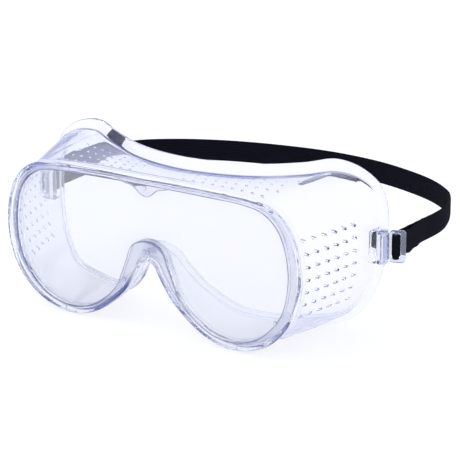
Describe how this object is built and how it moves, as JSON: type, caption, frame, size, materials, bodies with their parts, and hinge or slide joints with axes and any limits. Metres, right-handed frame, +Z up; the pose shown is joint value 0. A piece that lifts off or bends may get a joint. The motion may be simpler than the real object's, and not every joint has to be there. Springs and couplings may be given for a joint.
{
  "type": "safety goggles",
  "caption": "Clear direct-vent safety goggles: soft moulded body with a flat lens, perforated sides, hinged strap clips and an elastic head strap.",
  "frame": {"origin": "bottom centre of the whole model's box, on the surface that the goggles stand on", "axes": "-Y looks out through the lens, +X to the wearer's left, +Z up"},
  "size_m": [0.1992, 0.1504, 0.0748],
  "materials": {
    "clear_body": "clear soft vinyl",
    "clear_lens": "clear polished",
    "clear_clip": "clear glossy",
    "strap": "ribbed woven elastic"
  },
  "bodies": {
    "goggles": {"goggle_body": "clear_body", "lens": "clear_lens", "strap_band": "strap"},
    "right_clip": {"right_strap_clip": "clear_clip", "right_strap_end": "strap"},
    "left_clip": {"left_strap_clip": "clear_clip", "left_strap_end": "strap"}
  },
  "joints": [
    {"name": "right_clip_swivel", "type": "hinge", "parent": "goggles", "child": "right_clip", "pos_m": [0.0907, -0.02521, 0.0412], "axis": [0, 0, 1], "range_deg": [-30, 18]},
    {"name": "left_clip_swivel", "type": "hinge", "parent": "goggles", "child": "left_clip", "pos_m": [-0.0907, -0.02521, 0.0412], "axis": [0, 0, -1], "range_deg": [-30, 18]}
  ]
}
